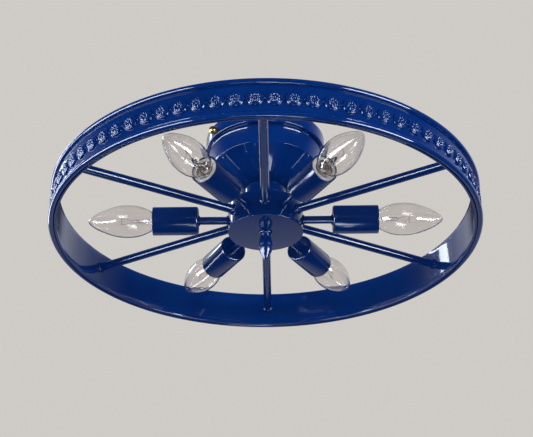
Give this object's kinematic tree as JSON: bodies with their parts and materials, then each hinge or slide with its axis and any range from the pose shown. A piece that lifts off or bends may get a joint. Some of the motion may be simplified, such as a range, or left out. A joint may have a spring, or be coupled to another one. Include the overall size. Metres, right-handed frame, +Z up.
{
  "type": "ceiling light",
  "caption": "Wheel-shaped ceiling light: embossed hoop on round spokes, candle bulbs in painted cups round a drum hub, short neck and stepped spun canopy, all glossy blue.",
  "frame": {"origin": "on the ceiling plane, in the middle of the canopy and of its two ceiling screw holes", "axes": "+Z straight up into the ceiling, +X along the first lamp arm"},
  "size_m": [0.4579, 0.458, 0.1476],
  "materials": {
    "blue_paint": "gloss",
    "porcelain": "gloss",
    "clear_glass": "clear",
    "cap_metal": "satin",
    "shell_metal": "satin",
    "wire": "satin",
    "plated_steel": "zinc plated",
    "brass": "polished",
    "white_plastic": "matte",
    "lead_insulation": "matte"
  },
  "bodies": {
    "fixture": {"hoop_band": "blue_paint", "hoop_trim": "blue_paint", "hoop_rosettes": "blue_paint", "hub_shell": "blue_paint", "hub_cover": "blue_paint", "canopy_pan": "blue_paint", "canopy_bell": "blue_paint", "neck_tube": "blue_paint", "crossbar": "plated_steel", "terminal_block": "white_plastic", "centre_rod": "plated_steel", "lock_nuts": "plated_steel", "screw_shells": "shell_metal", "hub_connector": "white_plastic", "wiring_leads": "lead_insulation", "arm_tube_1": "blue_paint", "arm_tube_2": "blue_paint", "arm_tube_3": "blue_paint", "arm_tube_4": "blue_paint", "arm_tube_5": "blue_paint", "arm_tube_6": "blue_paint", "socket_cup_1": "blue_paint", "socket_cup_2": "blue_paint", "socket_cup_3": "blue_paint", "socket_cup_4": "blue_paint", "socket_cup_5": "blue_paint", "socket_cup_6": "blue_paint", "lampholder_1": "porcelain", "lampholder_2": "porcelain", "lampholder_3": "porcelain", "lampholder_4": "porcelain", "lampholder_5": "porcelain", "lampholder_6": "porcelain", "spoke_1": "blue_paint", "spoke_2": "blue_paint", "spoke_3": "blue_paint", "spoke_4": "blue_paint", "spoke_5": "blue_paint", "spoke_6": "blue_paint"},
    "bulb_1": {"bulb_glass_1": "clear_glass", "bulb_cap_1": "cap_metal", "filament_1": "wire"},
    "bulb_2": {"bulb_glass_2": "clear_glass", "bulb_cap_2": "cap_metal", "filament_2": "wire"},
    "bulb_3": {"bulb_glass_3": "clear_glass", "bulb_cap_3": "cap_metal", "filament_3": "wire"},
    "bulb_4": {"bulb_glass_4": "clear_glass", "bulb_cap_4": "cap_metal", "filament_4": "wire"},
    "bulb_5": {"bulb_glass_5": "clear_glass", "bulb_cap_5": "cap_metal", "filament_5": "wire"},
    "bulb_6": {"bulb_glass_6": "clear_glass", "bulb_cap_6": "cap_metal", "filament_6": "wire"},
    "finial": {"finial": "blue_paint"},
    "canopy_screw_1": {"canopy_screw_1": "brass"},
    "canopy_screw_2": {"canopy_screw_2": "brass"}
  },
  "joints": [
    {"name": "bulb_slide_1", "type": "slide", "parent": "fixture", "child": "bulb_1", "axis": [1, 0, 0], "range_m": [0, 0.025]},
    {"name": "bulb_slide_2", "type": "slide", "parent": "fixture", "child": "bulb_2", "axis": [0.5, 0.866, 0], "range_m": [0, 0.025]},
    {"name": "bulb_slide_3", "type": "slide", "parent": "fixture", "child": "bulb_3", "axis": [-0.5, 0.866, 0], "range_m": [0, 0.025]},
    {"name": "bulb_slide_4", "type": "slide", "parent": "fixture", "child": "bulb_4", "axis": [-1, 0, 0], "range_m": [0, 0.025]},
    {"name": "bulb_slide_5", "type": "slide", "parent": "fixture", "child": "bulb_5", "axis": [-0.5, -0.866, 0], "range_m": [0, 0.025]},
    {"name": "bulb_slide_6", "type": "slide", "parent": "fixture", "child": "bulb_6", "axis": [0.5, -0.866, 0], "range_m": [0, 0.025]},
    {"name": "finial_turn", "type": "hinge", "parent": "fixture", "child": "finial", "pos_m": [0, 0, -0.115], "axis": [0, 0, 1], "continuous": true},
    {"name": "canopy_screw_turn_1", "type": "hinge", "parent": "fixture", "child": "canopy_screw_1", "pos_m": [-0.05339, -0.03879, -0.0101], "axis": [-0.809, -0.5878, 0], "continuous": true},
    {"name": "canopy_screw_turn_2", "type": "hinge", "parent": "fixture", "child": "canopy_screw_2", "pos_m": [0.05339, 0.03879, -0.0101], "axis": [0.809, 0.5878, 0], "continuous": true}
  ]
}
